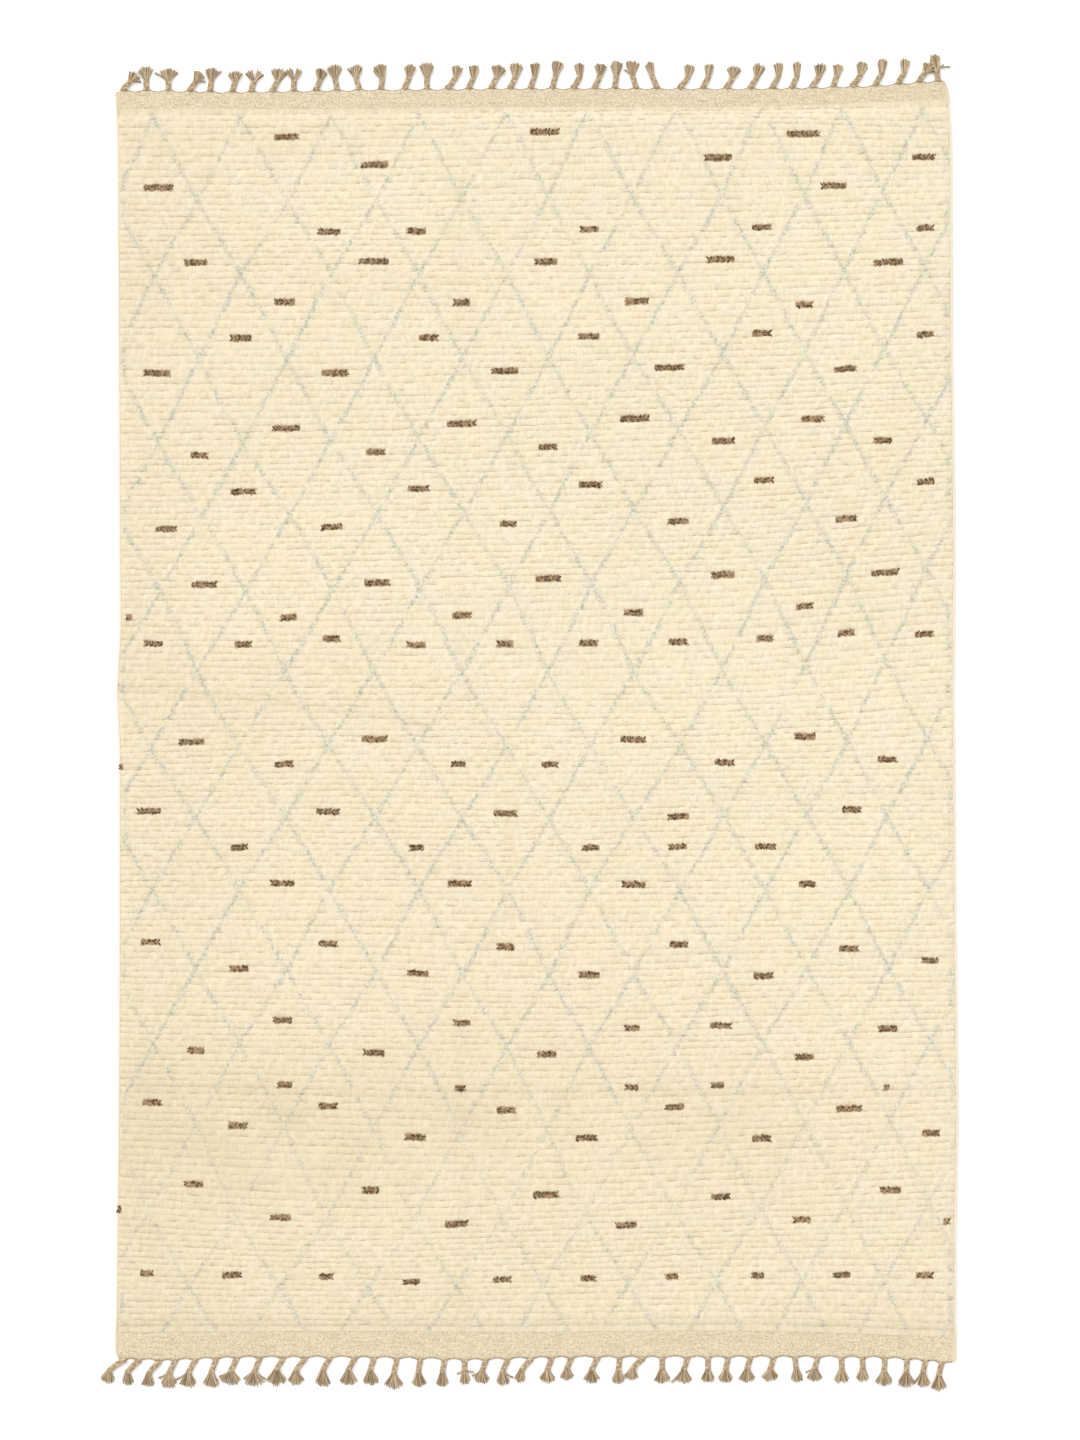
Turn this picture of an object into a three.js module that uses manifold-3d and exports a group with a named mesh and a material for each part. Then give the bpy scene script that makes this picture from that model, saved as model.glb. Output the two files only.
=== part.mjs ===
import * as THREE from "three";
import { mergeVertices } from "three/addons/utils/BufferGeometryUtils.js";
import Module from "manifold-3d";

// A hand-knotted wool rug that lies flat on the floor with its pile up. All sizes are in millimetres.
// +Y runs along the rug to its top end, +Z is up, and the origin is on the floor under its middle.

// Heights above the floor
const PILE_TOP = 14;
const PILE_SHOULDER = 10.5;
const WEAVE_TOP = 4.5;
const RIM_TOP = 2.6;

// The bands of the cloth, measured in from its edges
const GAP = 0.3; // between two pieces that touch
const TOP_WEAVE = 40; // flat woven, at the top end
const BOTTOM_WEAVE = 62; // flat woven, at the bottom end
const SHOULDER = 5; // where the cloth rounds down to an edge
const PILE_STEP = 1; // where the pile stands up from the flat weave

// The overcast side edges
const SELVEDGE_WIDTH = 10;
const SELVEDGE_TOP = 11;
const SELVEDGE_END_TOP = 7;
const CORNER = 9;
const END_SETBACK = 2;

// The side edges wander a little. A row for each stretch along the rug.
const sideEdges = [
  { y: -1530, left: -1007, right: 1005 },
  { y: -1210, left: -1003, right: 1005 },
  { y: -923, left: -1000, right: 1010 },
  { y: -493, left: -998, right: 1005 },
  { y: -62, left: -998, right: 1002 },
  { y: 81, left: -1004, right: 1000 },
  { y: 225, left: -996, right: 1002 },
  { y: 512, left: -998, right: 1002 },
  { y: 942, left: -1000, right: 996 },
  { y: 1373, left: -1002, right: 995 },
  { y: 1540, left: -1010, right: 987 },
];

// The woven edge at each end, from the left side of the rug, 0, to its right side, 1.
const endEdges = [
  { across: 0, top: 1514, bottom: -1516 },
  { across: 0.05, top: 1514, bottom: -1521 },
  { across: 0.14, top: 1510, bottom: -1514 },
  { across: 0.3, top: 1516, bottom: -1514 },
  { across: 0.42, top: 1518, bottom: -1520 },
  { across: 0.52, top: 1519, bottom: -1514 },
  { across: 0.8, top: 1519, bottom: -1513 },
  { across: 0.91, top: 1525, bottom: -1514 },
  { across: 0.97, top: 1534, bottom: -1521 },
  { across: 1, top: 1537, bottom: -1528 },
];

// Tassels of each fringe, counted from the left. A row where their spacing, their lean to the right or
// their reach past the edge changes. The tassels between two rows share out the difference.
const topTassels = [
  { count: 1, x: -988, lean: 20, reach: 46 },
  { count: 2, x: -933, lean: 1, reach: 55 },
  { count: 3, x: -878, lean: 2, reach: 50 },
  { count: 4, x: -828, lean: 17, reach: 48 },
  { count: 9, x: -579, lean: 4, reach: 51 },
  { count: 12, x: -423, lean: -5, reach: 59 },
  { count: 15, x: -261, lean: 2, reach: 64 },
  { count: 17, x: -160, lean: 15, reach: 59 },
  { count: 22, x: 91, lean: 13, reach: 61 },
  { count: 24, x: 189, lean: 3, reach: 62 },
  { count: 26, x: 289, lean: -12, reach: 62 },
  { count: 28, x: 398, lean: 20, reach: 60 },
  { count: 31, x: 564, lean: 18, reach: 60 },
  { count: 35, x: 758, lean: 16, reach: 63 },
  { count: 38, x: 916, lean: 13, reach: 58 },
  { count: 39, x: 962, lean: -2, reach: 62 },
];
const bottomTassels = [
  { count: 1, x: -984, lean: -42, reach: 52 },
  { count: 2, x: -950, lean: -28, reach: 58 },
  { count: 4, x: -863, lean: -13, reach: 63 },
  { count: 9, x: -610, lean: -10, reach: 65 },
  { count: 13, x: -390, lean: -8, reach: 67 },
  { count: 17, x: -170, lean: -1, reach: 60 },
  { count: 20, x: -12, lean: -24, reach: 56 },
  { count: 23, x: 144, lean: -12, reach: 60 },
  { count: 27, x: 359, lean: -9, reach: 63 },
  { count: 32, x: 620, lean: 4, reach: 57 },
  { count: 37, x: 887, lean: -3, reach: 63 },
  { count: 39, x: 972, lean: -10, reach: 64 },
];
const TASSELS = 39;

// One tassel, from its root in the edge line, 0, to the cut ends of its brush, 1.
const tasselShape = [
  { part: 0, drift: 0, width: 14, thick: 7 },
  { part: 0.25, drift: 0.32, width: 13, thick: 9 },
  { part: 0.52, drift: 0.72, width: 12, thick: 9 },
  { part: 0.64, drift: 0.84, width: 18, thick: 10 },
  { part: 0.86, drift: 0.95, width: 27, thick: 11 },
  { part: 1, drift: 1, width: 30, thick: 6 },
];

// The twined line of fringe yarn along the edge, from which the tassels grow
const LINE_WIDTH = 4.5;
const LINE_THICK = 5;

// The section of every yarn piece: round, with a flat that rests on the floor. The column side runs from
// one side, -1, to the other, 1, and up from the floor, 0, to the top, 1.
const yarnSection = [
  { side: -0.6, up: 0 },
  { side: 0.6, up: 0 },
  { side: 1, up: 0.45 },
  { side: 0.56, up: 1 },
  { side: -0.56, up: 1 },
  { side: -1, up: 0.45 },
];

const CREAM_WOOL = 0xf1e4c6;
const BINDING_WOOL = 0xe9dcbe;
const FRINGE_YARN = 0xaa8f6c;

const { lerp } = THREE.MathUtils;

/** Reads a table at a place between its rows: every column is worked out in line. */
function readTable(table, key, place) {
  const after = table.findIndex((row, i) => i > 0 && place <= row[key]);
  const to = table.at(after);
  const from = table.at(after - 1);
  const share = (place - from[key]) / (to[key] - from[key]);
  const columns = Object.keys(from).map((name) => [name, lerp(from[name], to[name], share)]);
  return Object.fromEntries(columns);
}

/** Side limits of the knotted cloth itself, inside the overcast edges. */
function clothSides(y) {
  const { left, right } = readTable(sideEdges, "y", y);
  const inset = SELVEDGE_WIDTH + GAP;
  return { left: left + inset, right: right - inset };
}

/** The point of the woven edge, at the top or the bottom end, at a share of the way across. */
function endPoint(end, across) {
  const y = readTable(endEdges, "across", across)[end];
  const { left, right } = clothSides(y);
  return new THREE.Vector3(lerp(left, right, across), y, 0);
}

/** The share of the way across at which a tassel's root lies. */
function acrossAt(end, x) {
  const { left, right } = clothSides(endPoint(end, 0.5).y);
  return (x - left) / (right - left);
}

/** The way out of the rug at one of its ends. */
const outOf = { top: 1, bottom: -1 };

/** A geometry of the given points and faces. */
function facets(points, faces) {
  const geometry = new THREE.BufferGeometry();
  const numbers = points.flatMap((point) => point.toArray());
  geometry.setAttribute("position", new THREE.Float32BufferAttribute(numbers, 3));
  geometry.setIndex(faces);
  return geometry;
}

/** A closed slab under a net of points, with its underside flat on the floor. */
function slabUnder(net) {
  const rows = net.length;
  const columns = net[0].length;
  const top = net.flat();
  const floor = top.map((point) => new THREE.Vector3(point.x, point.y, 0));
  const above = (r, c) => r * columns + c;
  const below = (r, c) => above(r, c) + top.length;
  const faces = [];
  const wall = (a, b, underA, underB) => faces.push(a, b, underB, a, underB, underA);
  for (let r = 0; r + 1 < rows; r += 1) {
    for (let c = 0; c + 1 < columns; c += 1) {
      faces.push(above(r, c), above(r, c + 1), above(r + 1, c + 1));
      faces.push(above(r, c), above(r + 1, c + 1), above(r + 1, c));
      faces.push(below(r, c), below(r + 1, c + 1), below(r, c + 1));
      faces.push(below(r, c), below(r + 1, c), below(r + 1, c + 1));
    }
    const end = columns - 1;
    wall(above(r, 0), above(r + 1, 0), below(r, 0), below(r + 1, 0));
    wall(above(r + 1, end), above(r, end), below(r + 1, end), below(r, end));
  }
  for (let c = 0; c + 1 < columns; c += 1) {
    wall(above(0, c + 1), above(0, c), below(0, c + 1), below(0, c));
    wall(above(rows - 1, c), above(rows - 1, c + 1), below(rows - 1, c), below(rows - 1, c + 1));
  }
  return facets([...top, ...floor], faces);
}

/** One closed solid through rings of equally many points, each turning about the way ahead. */
function loft(rings) {
  const around = rings[0].length;
  const last = (rings.length - 1) * around;
  const faces = [];
  for (let ring = 0; ring < last; ring += around) {
    for (let i = 0; i < around; i += 1) {
      const a = ring + i;
      const b = ring + ((i + 1) % around);
      faces.push(a, b, b + around, a, b + around, a + around);
    }
  }
  for (let i = 1; i + 1 < around; i += 1) {
    faces.push(0, i + 1, i, last, last + i, last + i + 1);
  }
  return facets(rings.flat(), faces);
}

/** A ring of the yarn section on the floor. The way ahead is a quarter turn right of the way sideways. */
function ring(middle, sideways, width, height) {
  return yarnSection.map(({ side, up }) => (
    middle.clone().addScaledVector(sideways, side * width / 2).setZ(up * height)
  ));
}

/** The knotted cloth: flat woven bands at both ends and the thick pile between them. */
function rugBody() {
  const net = [];
  const addRow = (yAt, height) => {
    const middle = endEdges.slice(1, -1).map((row) => row.across);
    const { left, right } = clothSides(yAt(0.5));
    const shoulder = SHOULDER / (right - left);
    const places = [0, shoulder, ...middle, 1 - shoulder, 1];
    net.push(places.map((across) => {
      const y = yAt(across);
      const sides = clothSides(y);
      const atSide = across === 0 || across === 1;
      const z = atSide ? Math.min(height, PILE_SHOULDER) : height;
      return new THREE.Vector3(lerp(sides.left, sides.right, across), y, z);
    }));
  };
  const fromEnd = (end, inwards) => (across) => endPoint(end, across).y - outOf[end] * (GAP + inwards);
  const profile = (weave) => [
    { inwards: 0, height: RIM_TOP },
    { inwards: SHOULDER, height: WEAVE_TOP },
    { inwards: weave, height: WEAVE_TOP },
    { inwards: weave + PILE_STEP, height: PILE_SHOULDER },
    { inwards: weave + PILE_STEP + SHOULDER, height: PILE_TOP },
  ];
  profile(BOTTOM_WEAVE).forEach(({ inwards, height }) => addRow(fromEnd("bottom", inwards), height));
  sideEdges.slice(1, -1).forEach(({ y }) => addRow(() => y, PILE_TOP));
  profile(TOP_WEAVE).reverse().forEach(({ inwards, height }) => addRow(fromEnd("top", inwards), height));
  return slabUnder(net);
}

/** One overcast side edge, a fat wrapped cord as long as the cloth. */
function selvedge(side) {
  const across = side === "left" ? 0 : 1;
  const top = endPoint("top", across).y;
  const bottom = endPoint("bottom", across).y;
  const stations = [
    { y: bottom + END_SETBACK, height: SELVEDGE_END_TOP, pulledIn: CORNER / 2 },
    { y: bottom + CORNER, height: SELVEDGE_END_TOP, pulledIn: 0 },
    { y: bottom + BOTTOM_WEAVE, height: SELVEDGE_TOP, pulledIn: 0 },
    ...sideEdges.slice(1, -1).map(({ y }) => ({ y, height: SELVEDGE_TOP, pulledIn: 0 })),
    { y: top - TOP_WEAVE, height: SELVEDGE_TOP, pulledIn: 0 },
    { y: top - CORNER, height: SELVEDGE_END_TOP, pulledIn: 0 },
    { y: top - END_SETBACK, height: SELVEDGE_END_TOP, pulledIn: CORNER / 2 },
  ];
  const west = new THREE.Vector3(-1, 0, 0);
  const inwards = side === "left" ? 1 : -1;
  return loft(stations.map(({ y, height, pulledIn }) => {
    const outer = readTable(sideEdges, "y", y)[side] + inwards * pulledIn;
    const width = SELVEDGE_WIDTH - pulledIn;
    return ring(new THREE.Vector3(outer + inwards * width / 2, y, 0), west, width, height);
  }));
}

/** One tassel, a braided stem that opens into a cut brush, lying on the floor. */
function tassel(end, { x, lean, reach }) {
  const root = endPoint(end, acrossAt(end, x)).y + outOf[end] * LINE_WIDTH / 2;
  const sideways = new THREE.Vector3(-outOf[end], 0, 0);
  return loft(tasselShape.map(({ part, drift, width, thick }) => {
    const middle = new THREE.Vector3(x + drift * lean, root + outOf[end] * part * reach, 0);
    return ring(middle, sideways, width, thick);
  }));
}

/** The twined yarn line along one woven edge. */
function edgeLine(end) {
  const north = new THREE.Vector3(0, 1, 0);
  return loft(endEdges.map(({ across }) => {
    const middle = endPoint(end, across).addScaledVector(north, outOf[end] * LINE_WIDTH / 2);
    return ring(middle, north, LINE_WIDTH, LINE_THICK);
  }));
}

const wasm = await Module();
wasm.setup();

/** A solid for joining, from a closed geometry. */
function toSolid(geometry) {
  const merged = mergeVertices(geometry);
  const vertProperties = new Float32Array(merged.attributes.position.array);
  const triVerts = new Uint32Array(merged.index.array);
  return new wasm.Manifold(new wasm.Mesh({ numProp: 3, vertProperties, triVerts }));
}

/** Joins closed geometries that overlap into one. */
function join(geometries) {
  const { vertProperties, triVerts } = geometries
    .map(toSolid)
    .reduce((joined, solid) => joined.add(solid))
    .getMesh();
  const geometry = new THREE.BufferGeometry();
  geometry.setAttribute("position", new THREE.BufferAttribute(vertProperties, 3));
  geometry.setIndex(new THREE.BufferAttribute(triVerts, 1));
  return geometry;
}

/** The whole fringe of one end, a comb of tassels on its yarn line. */
function fringe(end, table) {
  const places = Array.from({ length: TASSELS }, (_, i) => readTable(table, "count", i + 1));
  return join([edgeLine(end), ...places.map((place) => tassel(end, place))]);
}

/** A named piece in the colour of its wool. */
function piece(name, geometry, color) {
  geometry.computeVertexNormals();
  const material = new THREE.MeshStandardMaterial({ color, roughness: 0.95, metalness: 0 });
  const mesh = new THREE.Mesh(geometry, material);
  mesh.name = name;
  return mesh;
}

const rug = new THREE.Group();
rug.add(
  piece("rug_body", rugBody(), CREAM_WOOL),
  piece("selvedge_left", selvedge("left"), BINDING_WOOL),
  piece("selvedge_right", selvedge("right"), BINDING_WOOL),
  piece("fringe_top", fringe("top", topTassels), FRINGE_YARN),
  piece("fringe_bottom", fringe("bottom", bottomTassels), FRINGE_YARN),
);

export default rug;
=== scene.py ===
import math

import bpy
import numpy as np
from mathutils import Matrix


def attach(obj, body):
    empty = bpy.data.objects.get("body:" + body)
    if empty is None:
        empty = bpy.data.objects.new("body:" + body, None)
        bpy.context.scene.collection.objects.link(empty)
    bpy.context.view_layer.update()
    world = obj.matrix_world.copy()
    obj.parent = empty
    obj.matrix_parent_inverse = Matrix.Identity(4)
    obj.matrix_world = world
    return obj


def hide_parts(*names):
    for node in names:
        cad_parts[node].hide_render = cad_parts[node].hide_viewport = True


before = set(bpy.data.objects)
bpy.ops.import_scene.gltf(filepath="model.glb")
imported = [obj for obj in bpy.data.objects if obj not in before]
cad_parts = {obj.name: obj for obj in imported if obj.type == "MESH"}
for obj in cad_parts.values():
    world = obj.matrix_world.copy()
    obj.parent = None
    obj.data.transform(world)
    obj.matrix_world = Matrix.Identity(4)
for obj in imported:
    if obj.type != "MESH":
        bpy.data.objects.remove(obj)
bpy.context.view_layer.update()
bpy.ops.object.select_all(action="DESELECT")


# The rug is seen from straight above, with its top end up. The camera stands so far off that the
# rug shows almost without perspective, and it looks at the middle of the view, just off the origin.
VIEW_LENGTH = 3.445  # of floor, from the top to the bottom of the picture
VIEW_MIDDLE = (0.0096, 0.0096)
LENS = 85.0  # millimetres
SENSOR = 36.0
camera_height = VIEW_LENGTH * LENS / SENSOR
bpy.ops.object.camera_add(location=(*VIEW_MIDDLE, camera_height), rotation=(0, 0, 0))
camera = bpy.context.object
camera.data.lens = LENS
camera.data.sensor_width = SENSOR
camera.data.clip_end = 100
bpy.context.scene.camera = camera
bpy.context.scene.view_settings.view_transform = "Standard"
bpy.context.scene.view_settings.look = "None"


# A plain white studio floor in soft light from all round. A key light as soft as a bright sky
# slants in over the top end, evenly over the whole rug, and brings out the rows of knots.
FLOOR_SIZE = 24.0
FLOOR_DROP = 0.0004  # below the rug's underside
DAYLIGHT = 1.03
KEY_LIGHT = 1.68
KEY_SOFTNESS = math.radians(50)
KEY_FROM = (-0.45, 1.0, 0.85)
BRIGHTNESS = 1.356  # of a white surface that lies flat in this light


def add_node(tree, kind, inputs=None, **settings):
    """A shader node with its settings, and with values or other sockets for its inputs."""
    node = tree.nodes.new(kind)
    for name, value in settings.items():
        setattr(node, name, value)
    for key, value in (inputs or {}).items():
        if isinstance(value, bpy.types.NodeSocket):
            tree.links.new(value, node.inputs[key])
        else:
            node.inputs[key].default_value = value
    return node


def new_material(name, roughness):
    """A material, as (material, its node tree, its Principled shader)."""
    material = bpy.data.materials.new(name)
    material.use_nodes = True
    tree = material.node_tree
    shader = tree.nodes["Principled BSDF"]
    shader.inputs["Roughness"].default_value = roughness
    return material, tree, shader


bpy.ops.mesh.primitive_plane_add(size=FLOOR_SIZE, location=(0, 0, -FLOOR_DROP))
floor = bpy.context.object
floor.name = "floor"
floor_paint, floor_tree, floor_shader = new_material("studio_floor", 0.9)
floor_clouds = add_node(floor_tree, "ShaderNodeTexNoise", {"Scale": 0.6, "Detail": 1.0})
floor_tint = add_node(
    floor_tree,
    "ShaderNodeMix",
    {"Factor": floor_clouds.outputs["Fac"], "A": (0.94, 0.94, 0.94, 1), "B": (0.96, 0.96, 0.96, 1)},
    data_type="RGBA",
)
floor_tree.links.new(floor_tint.outputs["Result"], floor_shader.inputs["Base Color"])
floor.data.materials.append(floor_paint)

world = bpy.data.worlds.new("studio")
world.use_nodes = True
world.node_tree.nodes["Background"].inputs["Color"].default_value = (1.0, 0.995, 0.985, 1)
world.node_tree.nodes["Background"].inputs["Strength"].default_value = DAYLIGHT
bpy.context.scene.world = world

bpy.ops.object.light_add(type="SUN", location=KEY_FROM)
key_light = bpy.context.object
key_light.name = "key_light"
key_light.data.energy = KEY_LIGHT
key_light.data.angle = KEY_SOFTNESS
key_light.rotation_euler = (-key_light.location).to_track_quat("-Z", "Y").to_euler()


# The ground cloth of the rug, woven of cream wool, with rows of slanting stitches twined into its
# flat ends. It shows as a flat woven band at each end and as the back of the rug. The knots of the
# pile are tied over it in the middle.
SEAM = 0.0001  # between pieces that are sewn or woven together
SELVEDGE_WIDTH = 0.010
TOP_WEAVE = 0.043
BOTTOM_WEAVE = 0.062
WEAVE_TOP = 0.0045
RIM_TOP = 0.0026
RIM_WIDTH = 0.005
WARPS = 800
PICK = 0.002  # from one weft to the next
THREAD_RISE = 0.00045  # of a thread over the ones beside it
THREAD_UNEVEN = 0.0002
STITCH_RISE = 0.0007
STITCH_SINK = 0.6  # share of its rise by which a stitch starts under the weave
STITCH_WARPS = 3
STITCH_GAPS = -0.25  # there are no stitches where soft random hills lie below this
HIDDEN_ROWS = 12  # of the cloth under the pile
UNDER_PILE = 0.006  # how far the open weave runs on under the knots
SCALLOP = 0.0095  # how far a tassel draws the edge out
SCALLOP_WIDTH = 0.016
SCALLOP_DEPTH = 0.012
AT_ROOT = 0.52  # share of the scallop outside the woven edge
random = np.random.default_rng(7)

# The outline of the rug. Its side edges and its woven ends wander a little, as hand weaving does.
side_edges = {
    "y": (-1.530, -1.210, -0.923, -0.493, -0.062, 0.081, 0.225, 0.512, 0.942, 1.373, 1.540),
    "left": (-1.007, -1.003, -1.000, -0.998, -0.998, -1.004, -0.996, -0.998, -1.000, -1.002, -1.007),
    "right": (1.005, 1.005, 1.010, 1.005, 1.002, 1.000, 1.002, 1.002, 0.996, 0.995, 0.987),
}
woven_ends = {
    "across": (0, 0.05, 0.14, 0.3, 0.42, 0.52, 0.8, 0.91, 0.97, 1),
    "top": (1.514, 1.514, 1.510, 1.516, 1.518, 1.519, 1.519, 1.525, 1.534, 1.537),
    "bottom": (-1.516, -1.521, -1.514, -1.514, -1.520, -1.514, -1.513, -1.514, -1.521, -1.528),
}
outwards = {"top": 1, "bottom": -1}

# Where the warp ends are gathered for the tassels, in millimetres
tassel_roots = {
    "top": (
        -987, -932, -879, -828, -779, -727, -681, -631, -580, -526, -476, -423, -371, -314, -261, -211,
        -161, -107, -62, -13, 39, 90, 140, 188, 239, 289, 344, 399, 456, 513, 565, 612, 660, 710, 758,
        811, 866, 915, 961,
    ),
    "bottom": (
        -986, -950, -901, -863, -815, -765, -716, -661, -605, -553, -494, -434, -388, -333, -277, -219,
        -171, -120, -68, -13, 37, 84, 146, 200, 254, 302, 362, 411, 459, 512, 568, 619, 673, 731, 781,
        834, 887, 931, 970,
    ),
}
# Rows of twined stitches in the flat ends, from and to how far from the rim
stitched = {
    "top": ((0.005, 0.011), (0.028, 0.038)),
    "bottom": ((0.014, 0.024), (0.025, 0.035), (0.050, 0.056)),
}


def cloth_sides(y):
    """The left and right limits of the cloth, inside its overcast edges."""
    inset = SELVEDGE_WIDTH + SEAM
    left = np.interp(y, side_edges["y"], side_edges["left"]) + inset
    right = np.interp(y, side_edges["y"], side_edges["right"]) - inset
    return left, right


def between_sides(across, y, beyond=0.0):
    """The place across the rug at a share of the way between its sides, or past them."""
    left, right = cloth_sides(y)
    return left - beyond + across * (right - left + 2 * beyond)


def woven_edge(end, across):
    """How far along the rug its woven edge lies, at a share of the way across."""
    return np.interp(across, woven_ends["across"], woven_ends[end])


def from_root(end, x):
    """How far each place across the rug is from the nearest tassel."""
    return np.abs(x[:, None] - np.array(tassel_roots[end])[None, :] / 1000).min(axis=1)


def scallop(end, x):
    """How far the edge is drawn out at a place across the rug, most at each tassel."""
    return SCALLOP * (np.exp(-from_root(end, x) / SCALLOP_WIDTH) + AT_ROOT - 1)


def mesh_object(name, points, faces, smooth_angle=math.radians(75)):
    """A piece made of points and faces, smooth but for edges sharper than the angle."""
    mesh = bpy.data.meshes.new(name)
    mesh.from_pydata(points, [], faces)
    mesh.validate()
    piece = bpy.data.objects.new(name, mesh)
    bpy.context.scene.collection.objects.link(piece)
    bpy.ops.object.select_all(action="DESELECT")
    piece.select_set(True)
    bpy.context.view_layer.objects.active = piece
    bpy.ops.object.shade_smooth_by_angle(angle=smooth_angle)
    piece.select_set(False)
    return piece


def blanket(name, net, under_z, under_rows, smooth_angle=math.radians(75)):
    """A closed sheet. Its top is a net of points, rows from front to back and columns to the right,
    and its underside is flat, with only the rows of the net that under_rows lists."""
    rows, columns, _ = net.shape
    under = net[under_rows].copy()
    under[..., 2] = under_z
    points = np.concatenate([net.reshape(-1, 3), under.reshape(-1, 3)])
    top = np.arange(rows * columns).reshape(rows, columns)
    low = rows * columns + np.arange(len(under_rows) * columns).reshape(-1, columns)

    def quads(grid):
        corners = (grid[:-1, :-1], grid[:-1, 1:], grid[1:, 1:], grid[1:, :-1])
        return np.stack([corner.ravel() for corner in corners], axis=1).tolist()

    faces = quads(top) + quads(low[:, ::-1])
    faces += np.stack([low[0, :-1], low[0, 1:], top[0, 1:], top[0, :-1]], axis=1).tolist()
    faces += np.stack([low[-1, 1:], low[-1, :-1], top[-1, :-1], top[-1, 1:]], axis=1).tolist()
    for step, (front, back) in enumerate(zip(under_rows[:-1], under_rows[1:])):
        left_wall = [low[step + 1, 0], low[step, 0], *top[front : back + 1, 0]]
        right_wall = [low[step, -1], low[step + 1, -1], *top[front : back + 1, -1][::-1]]
        faces += [[int(corner) for corner in wall] for wall in (left_wall, right_wall)]
    return mesh_object(name, points.tolist(), faces, smooth_angle)


def paint(piece, name, values):
    """Gives every point of a piece a number of its own, for the material to read."""
    layer = piece.data.attributes.new(name, "FLOAT", "POINT")
    layer.data.foreach_set("value", np.asarray(values, np.float32).ravel())


def paint_sheet(piece, name, values, under_rows):
    """Paints a blanket with a net of numbers, underneath as on top."""
    paint(piece, name, np.concatenate([values.ravel(), values[under_rows].ravel()]))


def smooth_read(at, places, values):
    """Reads the columns of a table at places between its rows, along smooth curves."""
    places = np.asarray(places, float)
    values = np.asarray(values, float)
    slopes = np.gradient(values, places, axis=0)
    after = np.clip(np.searchsorted(places, at), 1, len(places) - 1)
    before = after - 1
    span = (places[after] - places[before])[:, None]
    t = (at - places[before])[:, None] / span
    start = (2 * t**3 - 3 * t**2 + 1) * values[before] + (t**3 - 2 * t**2 + t) * span * slopes[before]
    finish = (3 * t**2 - 2 * t**3) * values[after] + (t**3 - t**2) * span * slopes[after]
    return start + finish


def uneven(rows, columns, row_step, column_step):
    """Soft random variation between about -1 and 1 over a net, with hills one step apart."""
    coarse_rows = np.arange(int(rows / row_step) + 3)
    coarse_columns = np.arange(int(columns / column_step) + 3)
    hills = random.uniform(-1, 1, (len(coarse_rows), len(coarse_columns)))
    along = smooth_read(np.arange(rows) / row_step, coarse_rows, hills)
    return smooth_read(np.arange(columns) / column_step, coarse_columns, along.T).T


def uneven_mix(rows, columns, parts, base=0.0):
    """Soft random variation of several strengths, each with its row step and column step."""
    return sum((strength * uneven(rows, columns, *steps) for strength, *steps in parts), base)


# The net of the cloth, from the bottom end to the top end
warps_across = np.linspace(0, 1, WARPS + 1)


def end_rows(end, weave):
    """Rows of the net in one woven band, from its rim inwards: place along, height and thread."""
    edge = woven_edge(end, warps_across)
    drawn_out = scallop(end, between_sides(warps_across, edge))
    rows = np.arange(int((weave + UNDER_PILE) / PICK) + 1)[:, None]
    warps = np.arange(WARPS + 1)[None, :]
    inwards = rows * PICK
    rise = np.clip(inwards / RIM_WIDTH, 0, 1)
    height = RIM_TOP + (WEAVE_TOP - RIM_TOP) * np.sin(rise * math.pi / 2)
    reach = drawn_out[None, :] * np.exp(-inwards / SCALLOP_DEPTH) - SEAM - inwards
    along = edge[None, :] + outwards[end] * reach
    over = ((rows + warps) % 2).astype(float)
    lift = THREAD_RISE * (over - 1)
    for number, (start, stop) in enumerate(stitched[end]):
        slant = rows if number % 2 else -rows
        stitch = ((warps + slant) % STITCH_WARPS) / (STITCH_WARPS - 1)
        patchy = uneven(*over.shape, 6, 30) > STITCH_GAPS
        twined = (inwards >= start) & (inwards <= stop) & patchy
        over = np.where(twined, stitch, over)
        lift = np.where(twined, STITCH_RISE * (stitch - STITCH_SINK), lift)
    height = height + lift + THREAD_UNEVEN * random.uniform(-1, 1, over.shape)
    return along, height, over


bottom_rows = end_rows("bottom", BOTTOM_WEAVE)
top_rows = end_rows("top", TOP_WEAVE)
lowest = bottom_rows[0][-1]
way_up = np.linspace(0, 1, HIDDEN_ROWS + 2)[1:-1, None]
along = lowest + way_up * (top_rows[0][-1] - lowest)
hidden_rows = (along, np.full_like(along, WEAVE_TOP - THREAD_RISE), 0 * along)
cloth_along, cloth_height, cloth_over = (
    np.concatenate([low, hidden, high[::-1]])
    for low, hidden, high in zip(bottom_rows, hidden_rows, top_rows)
)
cloth_across = np.broadcast_to(warps_across, cloth_along.shape)
cloth_net = np.stack([between_sides(cloth_across, cloth_along), cloth_along, cloth_height], axis=2)
hidden_first = len(bottom_rows[0])
under_rows = [0, *range(hidden_first, hidden_first + HIDDEN_ROWS), len(cloth_net) - 1]
rug_cloth = blanket("rug_cloth", cloth_net, 0.0, under_rows)
paint_sheet(rug_cloth, "thread_over", cloth_over, under_rows)


NUMBER = "NodeSocketFloat"
VECTOR = "NodeSocketVector"


def shader_group(name, entries, results):
    """An empty shader group, as (group, what it is given, its results)."""
    group = bpy.data.node_groups.new(name, "ShaderNodeTree")
    for title, kind in entries.items():
        group.interface.new_socket(title, in_out="INPUT", socket_type=kind)
    for title in results:
        group.interface.new_socket(title, in_out="OUTPUT", socket_type=NUMBER)
    return group, group.nodes.new("NodeGroupInput").outputs, group.nodes.new("NodeGroupOutput").inputs


def calculate(operation, first, second, third=0.0):
    """One step of arithmetic, in the tree of the first socket."""
    inputs = {0: first, 1: second, 2: third}
    return add_node(first.id_data, "ShaderNodeMath", inputs, operation=operation).outputs[0]


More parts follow.
